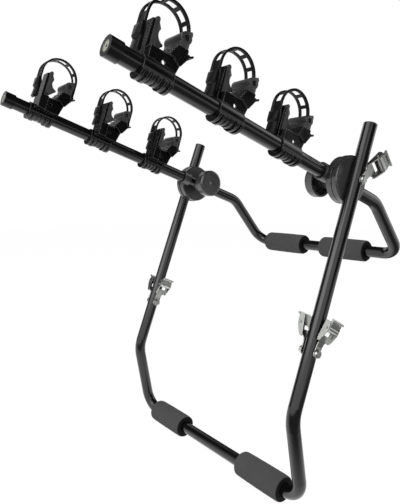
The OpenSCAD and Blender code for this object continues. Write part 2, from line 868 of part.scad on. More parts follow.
lower_frame_tube();
upright_plugs();
left_lower_pad();
right_lower_pad();
left_outer_disc();
right_outer_disc();
hub_bolts();
buckle_bolts();
carry_tube();
left_arm_cap();
right_arm_cap();
left_inner_disc();
right_inner_disc();
left_neck();
right_neck();
left_upper_pad();
right_upper_pad();
left_knob();
right_knob();
left_knob_nut();
right_knob_nut();
left_cradle_1();
left_cradle_2();
left_cradle_3();
right_cradle_1();
right_cradle_2();
right_cradle_3();
left_cushions_1();
left_cushions_2();
left_cushions_3();
right_cushions_1();
right_cushions_2();
right_cushions_3();
left_strap_1();
left_strap_2();
left_strap_3();
right_strap_1();
right_strap_2();
right_strap_3();
left_hub_buckle();
left_outer_buckle();
left_inner_buckle();
right_hub_buckle();
right_outer_buckle();
right_inner_buckle();
left_hub_pin();
left_outer_pin();
left_inner_pin();
right_hub_pin();
right_outer_pin();
right_inner_pin();
left_hub_lever();
left_outer_lever();
left_inner_lever();
right_hub_lever();
right_outer_lever();
right_inner_lever();
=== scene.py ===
"""Looks of a trunk mounted bike rack: finishes, foam rollers, rubber parts and studio."""

import json
import math

import bmesh
import bpy
from bpy.props import FloatProperty, FloatVectorProperty, IntProperty, PointerProperty
from mathutils import Matrix, Vector, noise


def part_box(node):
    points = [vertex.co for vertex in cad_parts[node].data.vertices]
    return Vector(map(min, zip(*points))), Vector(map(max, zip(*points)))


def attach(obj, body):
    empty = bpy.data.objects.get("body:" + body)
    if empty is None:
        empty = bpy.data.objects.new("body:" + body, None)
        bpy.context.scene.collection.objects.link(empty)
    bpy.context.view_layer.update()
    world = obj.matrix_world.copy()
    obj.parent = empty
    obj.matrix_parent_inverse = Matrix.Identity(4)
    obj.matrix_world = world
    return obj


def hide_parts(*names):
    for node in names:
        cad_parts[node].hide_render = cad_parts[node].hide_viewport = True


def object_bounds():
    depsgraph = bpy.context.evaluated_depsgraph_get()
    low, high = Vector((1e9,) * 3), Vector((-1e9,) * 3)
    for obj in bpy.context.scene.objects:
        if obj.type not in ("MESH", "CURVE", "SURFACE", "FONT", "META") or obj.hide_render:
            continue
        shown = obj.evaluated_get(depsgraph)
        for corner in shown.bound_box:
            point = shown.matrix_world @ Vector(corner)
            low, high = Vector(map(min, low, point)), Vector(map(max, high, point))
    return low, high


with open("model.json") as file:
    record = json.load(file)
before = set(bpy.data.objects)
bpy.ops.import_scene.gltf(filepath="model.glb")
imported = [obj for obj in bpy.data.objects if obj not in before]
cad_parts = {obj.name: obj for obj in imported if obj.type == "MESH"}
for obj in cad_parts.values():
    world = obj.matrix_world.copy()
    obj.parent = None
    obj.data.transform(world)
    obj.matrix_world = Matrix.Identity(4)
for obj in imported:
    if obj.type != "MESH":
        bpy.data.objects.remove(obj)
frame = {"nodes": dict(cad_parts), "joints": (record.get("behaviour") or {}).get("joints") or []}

bl_info = {
    "name": "Trunk bike rack",
    "version": (1, 0, 0),
    "blender": (4, 5, 0),
    "location": "View3D > Sidebar > Rack",
    "description": "Dresses the packed bike rack with finishes, foam, rubber and a studio",
    "category": "Object",
}

CAD_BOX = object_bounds()
NODES = frame["nodes"]
JOINTS = {joint["name"]: joint for joint in frame["joints"]}
SIDES = ("left", "right")
CRADLES = (1, 2, 3)
BUCKLES = ("hub", "outer", "inner")
CAP_DISC_R = 0.0091
CAP_HOLE_R = 0.0024
CAP_DISC_DEPTH = 0.0016
PAD_BORE_R = 0.0147
PAD_BREAK = 0.0012
MM = 0.001
SHARP_ANGLE = math.radians(38)

# Places in a cradle's own frame, in millimetres: u to the vehicle, v up, w outwards
SEAT = (4.5, 67.0)
SEAT_R = 13.2
ROLL = (29.5, 74.5)
ARCH = (3.5, 86.5)
STRAP_THICK = 3.7
STRAP_OUT = 41.5
STRAP_LEFT = ARCH[0] - STRAP_OUT
BARREL = (ARCH[0] + STRAP_OUT - STRAP_THICK / 2, 55.0)
BARREL_W = -23.0
JAW_W = (-38.0, -12.0)
ROLL_W = (-42.0, 8.0)
STRAP_W = (-36.0, -10.0)


class RackSizes(bpy.types.PropertyGroup):
    """Sizes of the pieces that are modelled here."""

    pad_edge: FloatProperty(
        name="Pad edge", description="Rounding of the foam pads' ends",
        default=0.0055, min=0.001, max=0.011, unit="LENGTH")
    pad_crown: FloatProperty(
        name="Pad crown", description="How much thicker a foam pad is in its middle",
        default=0.0006, min=0.0, max=0.003, unit="LENGTH")
    pad_steps: IntProperty(
        name="Pad steps", description="Steps round a foam pad", default=96, min=24, max=192)
    rubber_edge: FloatProperty(
        name="Rubber edge", description="Rounding of the cushions' edges",
        default=0.0011, min=0.0002, max=0.002, unit="LENGTH")
    strap_edge: FloatProperty(
        name="Strap edge", description="Rounding of the straps' edges",
        default=0.0004, min=0.0002, max=0.0008, unit="LENGTH")
    rail_width: FloatProperty(
        name="Rail width", description="Width of the raised rails along a ladder strap",
        default=0.0042, min=0.002, max=0.006, unit="LENGTH")
    rail_height: FloatProperty(
        name="Rail height", description="Height of the rails above a ladder strap's rungs",
        default=0.001, min=0.0008, max=0.002, unit="LENGTH")
    window_length: FloatProperty(
        name="Window length", description="Length of a window in a ladder strap",
        default=0.018, min=0.008, max=0.021, unit="LENGTH")
    window_width: FloatProperty(
        name="Window width", description="Width of a window in a ladder strap",
        default=0.013, min=0.006, max=0.018, unit="LENGTH")


class RackFinishes(bpy.types.PropertyGroup):
    """Colours of the rack's finishes."""

    paint: FloatVectorProperty(
        name="Paint", description="Black paint of the tubes", subtype="COLOR",
        default=(0.004, 0.004, 0.0045), min=0, max=1)
    moulding: FloatVectorProperty(
        name="Moulding", description="Black plastic of cradles, plugs and caps", subtype="COLOR",
        default=(0.0016, 0.0016, 0.0018), min=0, max=1)
    # Lighter colour mixed in along edges: a painted highlight standing in for the light lines that
    # edges catch
    edge_highlight: FloatVectorProperty(
        name="Painted edge highlights", description="Painted highlight along edges of mouldings and straps", subtype="COLOR",
        default=(0.12, 0.12, 0.123), min=0, max=1)
    hub_plastic: FloatVectorProperty(
        name="Hub plastic", description="Grey plastic of hubs and knobs", subtype="COLOR",
        default=(0.027, 0.027, 0.0288), min=0, max=1)
    foam: FloatVectorProperty(
        name="Foam", description="Skin of the foam pads", subtype="COLOR",
        default=(0.071, 0.071, 0.073), min=0, max=1)
    foam_cut: FloatVectorProperty(
        name="Foam ends", description="Cut ends of the foam pads", subtype="COLOR",
        default=(0.004, 0.004, 0.0045), min=0, max=1)
    rubber: FloatVectorProperty(
        name="Rubber", description="Cushions of the cradles", subtype="COLOR",
        default=(0.026, 0.026, 0.027), min=0, max=1)
    strap: FloatVectorProperty(
        name="Strap", description="Flexible plastic of the ladder straps", subtype="COLOR",
        default=(0.0012, 0.0012, 0.0013), min=0, max=1)
    zinc: FloatVectorProperty(
        name="Zinc", description="Plated steel of the buckles", subtype="COLOR",
        default=(0.44, 0.45, 0.465), min=0, max=1)
    zinc_tint: FloatVectorProperty(
        name="Zinc tint", description="Warm tint in the plating", subtype="COLOR",
        default=(0.46, 0.47, 0.412), min=0, max=1)
    cap_mark: FloatVectorProperty(
        name="Cap mark", description="Pale disc in the arms' end caps", subtype="COLOR",
        default=(0.33, 0.33, 0.29), min=0, max=1)


class RackStudio(bpy.types.PropertyGroup):
    """Camera and light."""

    azimuth: FloatProperty(
        name="Azimuth", description="Direction of view, turned from +Y towards -X",
        default=math.radians(52.02), subtype="ANGLE")
    dip: FloatProperty(
        name="Dip", description="Angle of view below the horizon",
        default=math.radians(6.93), subtype="ANGLE")
    place: FloatVectorProperty(
        name="Place", description="Place of the camera", subtype="TRANSLATION",
        default=(0.8785, -0.7226, 0.6168))
    lens: FloatProperty(
        name="Lens", description="Focal length for a frame 36 mm high",
        default=34.645, min=10, max=200, unit="CAMERA")
    ambient: FloatProperty(
        name="Ambient", description="Strength of the light from all round",
        default=0.55, min=0, max=2)
    key: FloatProperty(
        name="Key", description="Power of the large soft lamp", default=48, min=0, unit="POWER")
    fill: FloatProperty(
        name="Fill", description="Power of the fill lamp", default=16, min=0, unit="POWER")
    panel: FloatProperty(
        name="Panel", description="Brightness of the panels in gloss", default=1.6, min=0, max=6)
    panel_top: FloatProperty(
        name="Panel top", description="Sine of the elevation at which the panels fade out",
        default=0.5, min=0, max=0.7)
    floor_sheen: FloatProperty(
        name="Floor sheen", description="Brightness of the floor below the rack in gloss",
        default=1.45, min=0, max=6)
    floor_dim: FloatProperty(
        name="Floor dim", description="Brightness of the floor before and beside the rack in gloss",
        default=0.18, min=0, max=2)
    panel_gap: FloatProperty(
        name="Panel gap", description="Brightness of the gaps between the panels",
        default=0.03, min=0, max=1)


# Shader helpers


def node(tree, kind, **values):
    """New node; a value named like an input goes to that input, others to the node."""
    made = tree.nodes.new("ShaderNode" + kind)
    for name, value in values.items():
        label = name.replace("_", " ")
        if label in made.inputs:
            made.inputs[label].default_value = value
        else:
            setattr(made, name, value)
    return made


def join(tree, source, output, target, name):
    """Link from an output of one node to an input of another."""
    tree.links.new(source.outputs[output], target.inputs[name])


def group(name, inputs, outputs):
    """Empty shader group with float inputs and the given outputs."""
    tree = bpy.data.node_groups.new(name, "ShaderNodeTree")
    for label, value in inputs.items():
        socket = tree.interface.new_socket(label, in_out="INPUT", socket_type="NodeSocketFloat")
        socket.default_value = value
    for label, kind in outputs.items():
        tree.interface.new_socket(label, in_out="OUTPUT", socket_type="NodeSocket" + kind)
    return tree, tree.nodes.new("NodeGroupInput"), tree.nodes.new("NodeGroupOutput")


def grain_group():
    """Fine bump, a slow cloud that varies colour and roughness, and a mask of edges for a painted
    highlight.
    """
    name = "Surface grain"
    if name in bpy.data.node_groups:
        return bpy.data.node_groups[name]
    tree, taken, given = group(
        name,
        {"Fine scale": 900.0, "Depth": 0.00003, "Cloud scale": 18.0,
         "Smoothest": 0.3, "Roughest": 0.45, "Edge": 0.0006, "Highlight width": 0.0018},
        {"Normal": "Vector", "Roughness": "Float", "Cloud": "Float", "Highlight": "Float"})
    place = node(tree, "TexCoord")
    fine = node(tree, "TexNoise", Detail=3.0)
    cloud = node(tree, "TexNoise", Detail=5.0, Roughness=0.6)
    bump = node(tree, "Bump", Strength=1.0)
    edge = node(tree, "Bevel", samples=4)
    rough = node(tree, "MapRange", From_Min=0.3, From_Max=0.7)
    for texture, scale in ((fine, "Fine scale"), (cloud, "Cloud scale")):
        join(tree, place, "Object", texture, "Vector")
        join(tree, taken, scale, texture, "Scale")
    join(tree, taken, "Edge", edge, "Radius")
    join(tree, edge, "Normal", bump, "Normal")
    join(tree, fine, "Fac", bump, "Height")
    join(tree, taken, "Depth", bump, "Distance")
    join(tree, cloud, "Fac", rough, "Value")
    join(tree, taken, "Smoothest", rough, "To Min")
    join(tree, taken, "Roughest", rough, "To Max")
    join(tree, bump, "Normal", given, "Normal")
    join(tree, rough, "Result", given, "Roughness")
    join(tree, cloud, "Fac", given, "Cloud")
    join(tree, edge_mask(tree, taken, cloud), 0, given, "Highlight")
    return tree


def edge_mask(tree, taken, cloud):
    """Mask of edges that get a painted highlight: 1 where the surface turns within the highlight
    width.
    """
    around = node(tree, "Bevel", samples=4)
    surface = node(tree, "NewGeometry")
    agree = node(tree, "VectorMath", operation="DOT_PRODUCT")
    # Edges are found where the bevelled normal leaves the surface normal; these get the painted
    # highlight
    edge_highlight = node(tree, "MapRange", From_Min=0.985, From_Max=0.86)
    patchy = node(tree, "MapRange", From_Min=0.3, From_Max=0.6, To_Min=0.4)
    join(tree, taken, "Highlight width", around, "Radius")
    join(tree, around, "Normal", agree, 0)
    join(tree, surface, "Normal", agree, 1)
    join(tree, agree, "Value", edge_highlight, "Value")
    join(tree, cloud, "Fac", patchy, "Value")
    return both(tree, "MULTIPLY", edge_highlight, patchy)


def material(name):
    """New material with a Principled shader and the surface grain joined to it."""
    made = bpy.data.materials.new(name)
    made.use_nodes = True
    tree = made.node_tree
    shader = tree.nodes["Principled BSDF"]
    grain = node(tree, "Group", node_tree=grain_group())
    join(tree, grain, "Normal", shader, "Normal")
    join(tree, grain, "Roughness", shader, "Roughness")
    return made, tree, shader, grain


def set_grain(grain, fine, depth, cloud, smooth, rough):
    """Scales, bump depth in metres and range of roughness of one material's grain."""
    values = (fine, depth, cloud, smooth, rough)
    labels = ("Fine scale", "Depth", "Cloud scale", "Smoothest", "Roughest")
    for label, value in zip(labels, values):
        grain.inputs[label].default_value = value


def shade(colour, factor):
    """Colour made darker or lighter, with alpha."""
    return tuple(min(1.0, c * factor) for c in colour) + (1.0,)


def mix_colour(tree, first, second, source, output):
    """Mix of two colours by the output of another node."""
    mixed = node(tree, "Mix", data_type="RGBA")
    mixed.inputs[6].default_value = first
    mixed.inputs[7].default_value = second
    join(tree, source, output, mixed, 0)
    return mixed


def clouded(tree, shader, grain, colour, low=0.8, high=1.25, edge_highlight=None):
    """Base colour that wanders a little with the grain's cloud and may be lightened at edges as a
    painted highlight.
    """
    mixed = mix_colour(tree, shade(colour, low), shade(colour, high), grain, "Cloud")
    if edge_highlight is not None:
        # Painted highlight: edges mixed towards a lighter colour by the edge mask
        edges = mix_colour(tree, shade(colour, 1.0), shade(edge_highlight, 1.0), grain, "Highlight")
        join(tree, mixed, 2, edges, 6)
        mixed = edges
    join(tree, mixed, 2, shader, "Base Color")
    return mixed


def both(tree, operation, first, second):
    """Math node on the first outputs of two nodes."""
    made = node(tree, "Math", operation=operation)
    join(tree, first, 0, made, 0)
    join(tree, second, 0, made, 1)
    return made


def finishes():
    return bpy.context.scene.rack_finishes


def black_paint():
    """Gloss enamel with a faint orange peel."""
    made, tree, shader, grain = material("Black gloss paint")
    set_grain(grain, 420.0, 0.000012, 9.0, 0.12, 0.22)
    clouded(tree, shader, grain, finishes().paint)
    return made


def moulding():
    """Black moulded plastic with a fine spark-eroded grain."""
    made, tree, shader, grain = material("Black moulding")
    set_grain(grain, 1500.0, 0.000008, 26.0, 0.16, 0.3)
    grain.inputs["Edge"].default_value = 0.0009
    # Edges lightened as a painted highlight
    clouded(tree, shader, grain, finishes().moulding, edge_highlight=finishes().edge_highlight)
    return made


def hub_plastic():
    made, tree, shader, grain = material("Grey hub plastic")
    set_grain(grain, 1700.0, 0.00002, 22.0, 0.24, 0.38)
    grain.inputs["Edge"].default_value = 0.0012
    # Edges lightened as a painted highlight
    clouded(tree, shader, grain, finishes().hub_plastic, edge_highlight=finishes().edge_highlight)
    shader.inputs["Specular IOR Level"].default_value = 0.85
    return made


def rubber():
    made, tree, shader, grain = material("Black rubber")
    set_grain(grain, 1100.0, 0.00003, 30.0, 0.34, 0.5)
    clouded(tree, shader, grain, finishes().rubber, 0.75, 1.4)
    shader.inputs["Specular IOR Level"].default_value = 0.58
    return made


def strap_plastic():
    made, tree, shader, grain = material("Black strap plastic")
    set_grain(grain, 1100.0, 0.00002, 30.0, 0.3, 0.44)
    # Edges lightened as a painted highlight
    clouded(tree, shader, grain, finishes().strap, 0.75, 1.4, finishes().edge_highlight)
    grain.inputs["Highlight width"].default_value = 0.0007
    shader.inputs["Specular IOR Level"].default_value = 0.15
    return made


def foam():
    """Closed-cell foam: fine open pores, lighter skin and dark cut ends."""
    made, tree, shader, grain = material("Grey foam")
    set_grain(grain, 700.0, 0.0002, 24.0, 0.88, 0.98)
    skin = clouded(tree, shader, grain, finishes().foam, 0.82, 1.2)
    place = node(tree, "TexCoord")
    cells = node(tree, "TexVoronoi", Scale=850.0)
    pores = node(tree, "MapRange", From_Max=0.45, To_Min=0.72)
    toned = node(tree, "Mix", data_type="RGBA", blend_type="MULTIPLY")
    ends = node(tree, "Attribute", attribute_name="cut")
    final = node(tree, "Mix", data_type="RGBA")
    join(tree, place, "Object", cells, "Vector")
    join(tree, cells, "Distance", pores, "Value")
    toned.inputs[0].default_value = 1.0
    join(tree, skin, 2, toned, 6)
    join(tree, pores, "Result", toned, 7)
    join(tree, ends, "Fac", final, 0)
    join(tree, toned, 2, final, 6)
    final.inputs[7].default_value = shade(finishes().foam_cut, 1.0)
    join(tree, final, 2, shader, "Base Color")
    shader.inputs["Specular IOR Level"].default_value = 0.2
    return made


def zinc():
    """Zinc plate: cloudy warm tint and a fine grain."""
    made, tree, shader, grain = material("Zinc plate")
    set_grain(grain, 1200.0, 0.000003, 70.0, 0.22, 0.34)
    mixed = mix_colour(tree, shade(finishes().zinc, 1.0), shade(finishes().zinc_tint, 1.0),
                       grain, "Cloud")
    join(tree, mixed, 2, shader, "Base Color")
    shader.inputs["Metallic"].default_value = 1.0
    return made


def cap_plastic():
    """Cap moulding with a pale disc, drilled in its middle, in its end face."""
    made, tree, shader, grain = material("Cap moulding")
    set_grain(grain, 1500.0, 0.00002, 26.0, 0.2, 0.34)
    shader.inputs["Specular IOR Level"].default_value = 0.42
    dark = clouded(tree, shader, grain, finishes().moulding)
    tip, way = cap_tip()
    place = node(tree, "TexCoord")
    either = node(tree, "VectorMath", operation="ABSOLUTE")
    offset = node(tree, "VectorMath", operation="SUBTRACT")
    across = node(tree, "VectorMath", operation="CROSS_PRODUCT")
    radius = node(tree, "VectorMath", operation="LENGTH")
    depth = node(tree, "VectorMath", operation="DOT_PRODUCT")
    offset.inputs[1].default_value = [abs(c) for c in tip]
    across.inputs[1].default_value = [abs(c) for c in way]
    depth.inputs[1].default_value = [abs(c) for c in way]
    join(tree, place, "Object", either, 0)
    for source, target in ((either, offset), (offset, across), (across, radius), (offset, depth)):
        join(tree, source, 0, target, 0)
    mark = None
    for source, operation, limit in (
            (radius, "LESS_THAN", CAP_DISC_R), (radius, "GREATER_THAN", CAP_HOLE_R),
            (depth, "GREATER_THAN", -CAP_DISC_DEPTH)):
        test = node(tree, "Math", operation=operation)
        test.inputs[1].default_value = limit
        join(tree, source, 1, test, 0)
        mark = test if mark is None else both(tree, "MULTIPLY", mark, test)
    final = node(tree, "Mix", data_type="RGBA")
    join(tree, mark, 0, final, 0)
    join(tree, dark, 2, final, 6)
    final.inputs[7].default_value = shade(finishes().cap_mark, 1.0)
    join(tree, final, 2, shader, "Base Color")
    return made


def cap_tip():
    """Middle of the right cap's end face, and the direction that it faces."""
    low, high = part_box("right_arm_cap")
    first = Vector(JOINTS["right_strap_1_open"]["pos_m"])
    last = Vector(JOINTS["right_strap_3_open"]["pos_m"])
    way = (last - first).normalized()
    length = (high.y - low.y - (high.x - low.x) * abs(way.z)) / abs(way.y)
    return (low + high) / 2 + way * length / 2, way


def dress(names, made):
    """Gives CAD nodes one material in place of their own."""
    for name in names:
        slots = NODES[name].data.materials
        slots.clear()
        slots.append(made)


# Mesh helpers


def settle(name, bm, made, body, nodes):
    """Turns a bmesh into a piece that rides on a body and stands for CAD nodes."""
    bm.normal_update()
    bmesh.ops.recalc_face_normals(bm, faces=bm.faces)
    mesh = bpy.data.meshes.new(name)
    bm.to_mesh(mesh)
    bm.free()
    mesh.shade_smooth()
    mesh.set_sharp_from_angle(angle=SHARP_ANGLE)
    mesh.materials.append(made)
    piece = bpy.data.objects.new(name, mesh)
    bpy.context.scene.collection.objects.link(piece)
    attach(piece, body)
    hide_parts(*nodes)
    return piece


def lathe(bm, profile, steps, closed=False):
    """Turns a profile of (x, r) points about the X axis."""
    line = [bm.verts.new((x, 0, r)) for x, r in profile]
    ends = line[1:] + line[:1] if closed else line[1:]
    edges = [bm.edges.new(pair) for pair in zip(line, ends)]
    bmesh.ops.spin(
        bm, geom=line + edges, cent=(0, 0, 0), axis=(1, 0, 0), angle=2 * math.pi,
        steps=steps, use_merge=True)


def arc(centre, radius, start, end, count):
    """Points on an arc, both ends included, angles in degrees."""
    turns = [math.radians(start + (end - start) * k / count) for k in range(count + 1)]
    return [(centre[0] + radius * math.cos(t), centre[1] + radius * math.sin(t)) for t in turns]


def rounded_edges(bm, edges, offset, segments=2, least=30):
    """Rounds those of the edges that are sharp."""
    sharp = [e for e in edges if e.is_valid and len(e.link_faces) == 2
             and e.calc_face_angle(0) > math.radians(least)]
    bmesh.ops.bevel(
        bm, geom=sharp, offset=offset, offset_type="OFFSET", segments=segments, profile=0.5,
        affect="EDGES", clamp_overlap=True, material=-1)


def bar(bm, outline, span, edge):
    """Bar along w with an outline of (u, v) points, sharp edges rounded."""
    base = [bm.verts.new((span[0] * MM, u * MM, v * MM)) for u, v in outline]
    face = bm.faces.new(base)
    made = bmesh.ops.extrude_face_region(bm, geom=[face])["geom"]
    moved = [g for g in made if isinstance(g, bmesh.types.BMVert)]
    bmesh.ops.translate(bm, verts=moved, vec=((span[1] - span[0]) * MM, 0, 0))
    edges = {e for v in base + moved for e in v.link_edges}
    bmesh.ops.recalc_face_normals(bm, faces=list({f for e in edges for f in e.link_faces}))
    rounded_edges(bm, edges, edge)


def cradle_matrix(side, number):
    """Matrix from a cradle's w, u and v to the frame."""
    barrel = Vector(JOINTS[f"{side}_strap_{number}_open"]["pos_m"])
    first = Vector(JOINTS[f"{side}_strap_1_open"]["pos_m"])
    last = Vector(JOINTS[f"{side}_strap_3_open"]["pos_m"])
    sign = -1 if side == "left" else 1
    w = Vector((sign, 0, 0))
    u = (first - last).normalized()
    v = Vector((1, 0, 0)).cross(u)
    origin = barrel - w * BARREL_W * MM - u * BARREL[0] * MM - v * BARREL[1] * MM
    rows = [(w[k], u[k], v[k], origin[k]) for k in range(3)]
    return Matrix((*rows, (0, 0, 0, 1)))


# Pieces


def pad_profile(length, radius, bore, edge, crown):
    """Outline of a foam roller on one side of its axis, from bore to bore round its outside."""
    half = length / 2
    rows = 24
    mouth = 0.02
    skin = []
    for k in range(rows + 1):
        x = (half - edge) * (2 * k / rows - 1)
        skin.append((x, radius - crown * (x / half) ** 2))
    top = radius - crown - edge
    left = [(-half + edge + p[0], top + p[1]) for p in arc((0, 0), edge, 180, 90, 6)]
    right = [(half - edge + p[0], top + p[1]) for p in arc((0, 0), edge, 90, 0, 6)]
    start = bore + PAD_BREAK
    inner = [(-half + mouth, bore), (-half + PAD_BREAK, bore), (-half, start)]
    face = [start + (top - start) * k / 5 for k in range(1, 5)]
    outline = inner + [(-half, r) for r in face] + left + skin[1:-1] + right
    return outline + [(half, r) for r in reversed(face)] + [(-x, r) for x, r in reversed(inner)]


class RACK_OT_foam_pads(bpy.types.Operator):
    """Builds the four foam rollers over the bars"""

    bl_idname = "rack.foam_pads"
    bl_label = "Foam pads"

    # Scales of the skin's unevenness, per metre, and its height in metres
    lumps = 90
    dimples = 260
    drift = 7
    unevenness = 0.00022

    def execute(self, context):
        made = foam()
        for name in ("left_lower_pad", "right_lower_pad", "left_upper_pad", "right_upper_pad"):
            self.pad(context.scene.rack_sizes, name, made)
        return {"FINISHED"}

    def pad(self, sizes, name, made):
        low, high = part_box(name)
        centre = (low + high) / 2
        length = high.x - low.x
        radius = (high.z - low.z) / 2
        bm = bmesh.new()
        outline = pad_profile(length, radius, PAD_BORE_R, sizes.pad_edge, sizes.pad_crown)
        lathe(bm, outline, sizes.pad_steps, closed=True)
        bm.normal_update()
        for vert in bm.verts:
            swell = noise.noise(vert.co * self.lumps + centre * self.drift)
            swell += 0.5 * noise.noise(vert.co * self.dimples)
            vert.co += vert.normal * swell * self.unevenness
        bmesh.ops.translate(bm, verts=bm.verts, vec=centre)
        body = "main_frame" if "lower" in name else "carry_frame"
        piece = settle("foam_" + name, bm, made, body, [name])
        cut = piece.data.attributes.new("cut", "FLOAT", "POINT")
        flat = length / 2 - PAD_BREAK
        for vert in piece.data.vertices:
            inside = abs(vert.co.x - centre.x) > flat
            cut.data[vert.index].value = 1.0 if inside else 0.0


class RACK_OT_cushions(bpy.types.Operator):
    """Builds the rubber jaw pads and rolls of the cradles"""

    bl_idname = "rack.cushions"
    bl_label = "Rubber cushions"

    # Foot and crest end a little short of the roll, in millimetres; edges in metres
    inset = 0.5
    foot_edge = 0.0006
    crest_edge = 0.0008

    def execute(self, context):
        made = rubber()
        edge = context.scene.rack_sizes.rubber_edge
        for side in SIDES:
            for number in CRADLES:
                bm = bmesh.new()
                self.jaw_pad(bm, edge)
                self.roll(bm)
                bm.transform(cradle_matrix(side, number))
                piece = settle(f"rubber_{side}_{number}", bm, made, "carry_frame",
                               [f"{side}_cushions_{number}"])
        return {"FINISHED"}

    def jaw_pad(self, bm, edge):
        """Pad on the jaw plate, with the seat for the bicycle's tube."""
        back, tip = -19.25, -11.5
        top = 87.0
        tip_r = (tip - back) / 2
        outline = [(back, 40), (-7, 40), (3.2, 50.5)]
        outline += arc(SEAT, SEAT_R, 264, 146, 14)
        outline += [(tip, top - 4)] + arc((back + tip_r, top), tip_r, 0, 180, 8)
        bar(bm, outline, JAW_W, edge)

    def roll(self, bm):
        """Roll with hollow ends, on its foot, with the crest on its outer side."""
        radius, edge, hole, depth = 10.5, 1.4, 4.6, 5.0
        low, high = ROLL_W
        corner = [(low + edge + x, radius - edge + r) for x, r in arc((0, 0), edge, 180, 90, 4)]
        end = [(low + depth, 0.0), (low + depth, hole), (low + 0.6, hole), (low, hole + 0.6)]
        half = end + corner
        profile = half + [(low + high - x, r) for x, r in reversed(half)]
        fresh = bmesh.new()
        lathe(fresh, [(x * MM, r * MM) for x, r in profile], 48)
        bmesh.ops.remove_doubles(fresh, verts=fresh.verts, dist=1e-6)
        bmesh.ops.translate(fresh, verts=fresh.verts, vec=(0, ROLL[0] * MM, ROLL[1] * MM))
        spare = bpy.data.meshes.new("roll")
        fresh.to_mesh(spare)
        fresh.free()
        bm.from_mesh(spare)
        bpy.data.meshes.remove(spare)
        left, right = ROLL[0] - 8, ROLL[0] + 8
        foot = [(left, 57.6), (right, 57.6), (right, 69.5), (left, 69.5)]
        crest = [(24, 83.2), (37.4, 88.4), (39.6, 84), (38, 71), (34.4, 80)]
        span = (low + self.inset, high - self.inset)
        bar(bm, foot, span, self.foot_edge)
        bar(bm, crest, span, self.crest_edge)


class RACK_OT_straps(bpy.types.Operator):
    """Builds the ladder straps with their barrels and pull tabs"""

    bl_idname = "rack.straps"
    bl_label = "Ladder straps"

    # Lengths in millimetres, edges in metres
    windows = 5
    window_column = 2
    start = ARCH[1] - BARREL[1]
    middle = STRAP_OUT - STRAP_THICK / 2
    tail = 14.5
    station = 3.0
    barrel_r = 3.6
    barrel_edge = 0.0008
    tab_edge = 0.0009

    def execute(self, context):
        made = strap_plastic()
        sizes = context.scene.rack_sizes
        for side in SIDES:
            for number in CRADLES:
                bm = bmesh.new()
                self.band(bm, sizes)
                self.tab(bm)
                bar(bm, arc(BARREL, self.barrel_r, 0, 345, 23), STRAP_W, self.barrel_edge)
                bm.transform(cradle_matrix(side, number))
                settle(f"ladder_{side}_{number}", bm, made, f"{side}_strap_{number}_body",
                       [f"{side}_strap_{number}"])
        return {"FINISHED"}

    def rows(self, half):
        """Stations along the band, and the pairs between which a window lies."""
        gaps = []
        for k in range(self.windows):
            centre = self.start + self.middle * math.pi * (k + 0.5) / self.windows
            gaps.append((centre - half, centre + half))
        length = self.start + self.middle * math.pi + self.tail
        marks = sorted([0.0, length] + [edge for gap in gaps for edge in gap])
        stations = [0.0]
        for low, high in zip(marks, marks[1:]):
            count = max(1, math.ceil((high - low) / self.station))
            stations += [low + (high - low) * (k + 1) / count for k in range(count)]
        return stations, gaps

    def bend(self, along, out):
        """(u, v) of a point on the band, out from its middle surface."""
        turn = (along - self.start) / self.middle
        if turn < 0:
            return ARCH[0] + self.middle + out, ARCH[1] + along - self.start
        if turn > math.pi:
            past = along - self.start - self.middle * math.pi
            return ARCH[0] - self.middle - out, ARCH[1] - past
        reach = self.middle + out
        return ARCH[0] + reach * math.cos(turn), ARCH[1] + reach * math.sin(turn)

    def band(self, bm, sizes):
        """Flat ladder with raised rails and rounded edges, then bent over the arch."""
        stations, gaps = self.rows(sizes.window_length / MM / 2)
        half = sizes.window_width / MM / 2
        middle = sum(STRAP_W) / 2
        rail = sizes.rail_width / MM
        rise = sizes.rail_height / MM
        columns = (STRAP_W[0], STRAP_W[0] + rail, middle - half,
                   middle + half, STRAP_W[1] - rail, STRAP_W[1])
        grid = [[bm.verts.new((w, s, -STRAP_THICK / 2)) for w in columns] for s in stations]
        for (low, here), (high, there) in zip(zip(stations, grid), zip(stations[1:], grid[1:])):
            centre = (low + high) / 2
            holed = any(gap[0] < centre < gap[1] for gap in gaps)
            for k in range(len(columns) - 1):
                if not (holed and k == self.window_column):
                    bm.faces.new((here[k], here[k + 1], there[k + 1], there[k]))
        tops = self.lift(bm, bm.faces[:], STRAP_THICK - rise)
        reach = STRAP_W[1] - rail - middle
        rails = [f for f in tops if abs(f.calc_center_median().x - middle) > reach]
        self.lift(bm, rails + list({e for f in rails for e in f.edges}), rise)
        bmesh.ops.recalc_face_normals(bm, faces=bm.faces)
        rounded_edges(bm, bm.edges[:], sizes.strap_edge / MM)
        for vert in bm.verts:
            w, along, out = vert.co
            u, v = self.bend(along, out)
            vert.co = Vector((w, u, v)) * MM

    def lift(self, bm, geom, height):
        """Extrudes faces outwards and returns the new ones. Given edges, the old ones go."""
        made = bmesh.ops.extrude_face_region(bm, geom=geom)["geom"]
        verts = [g for g in made if isinstance(g, bmesh.types.BMVert)]
        bmesh.ops.translate(bm, verts=verts, vec=(0, 0, height))
        return [g for g in made if isinstance(g, bmesh.types.BMFace)]

    def tab(self, bm):
        """Pull tab in two steps."""
        left = STRAP_LEFT
        outline = [
            (left, 72), (left - 3, 68), (left - 3, 50), (left + 0.5, 47), (left - 1, 27),
            (left + 3, 24), (left + 6.5, 27), (left + 6.5, 60), (left + STRAP_THICK, 72)]
        bar(bm, outline, STRAP_W, self.tab_edge)


class RACK_OT_tubes(bpy.types.Operator):
    """Paints the two bent tubes"""

    bl_idname = "rack.tubes"
    bl_label = "Painted tubes"

    def execute(self, context):
        dress(["lower_frame_tube", "carry_tube"], black_paint())
        return {"FINISHED"}


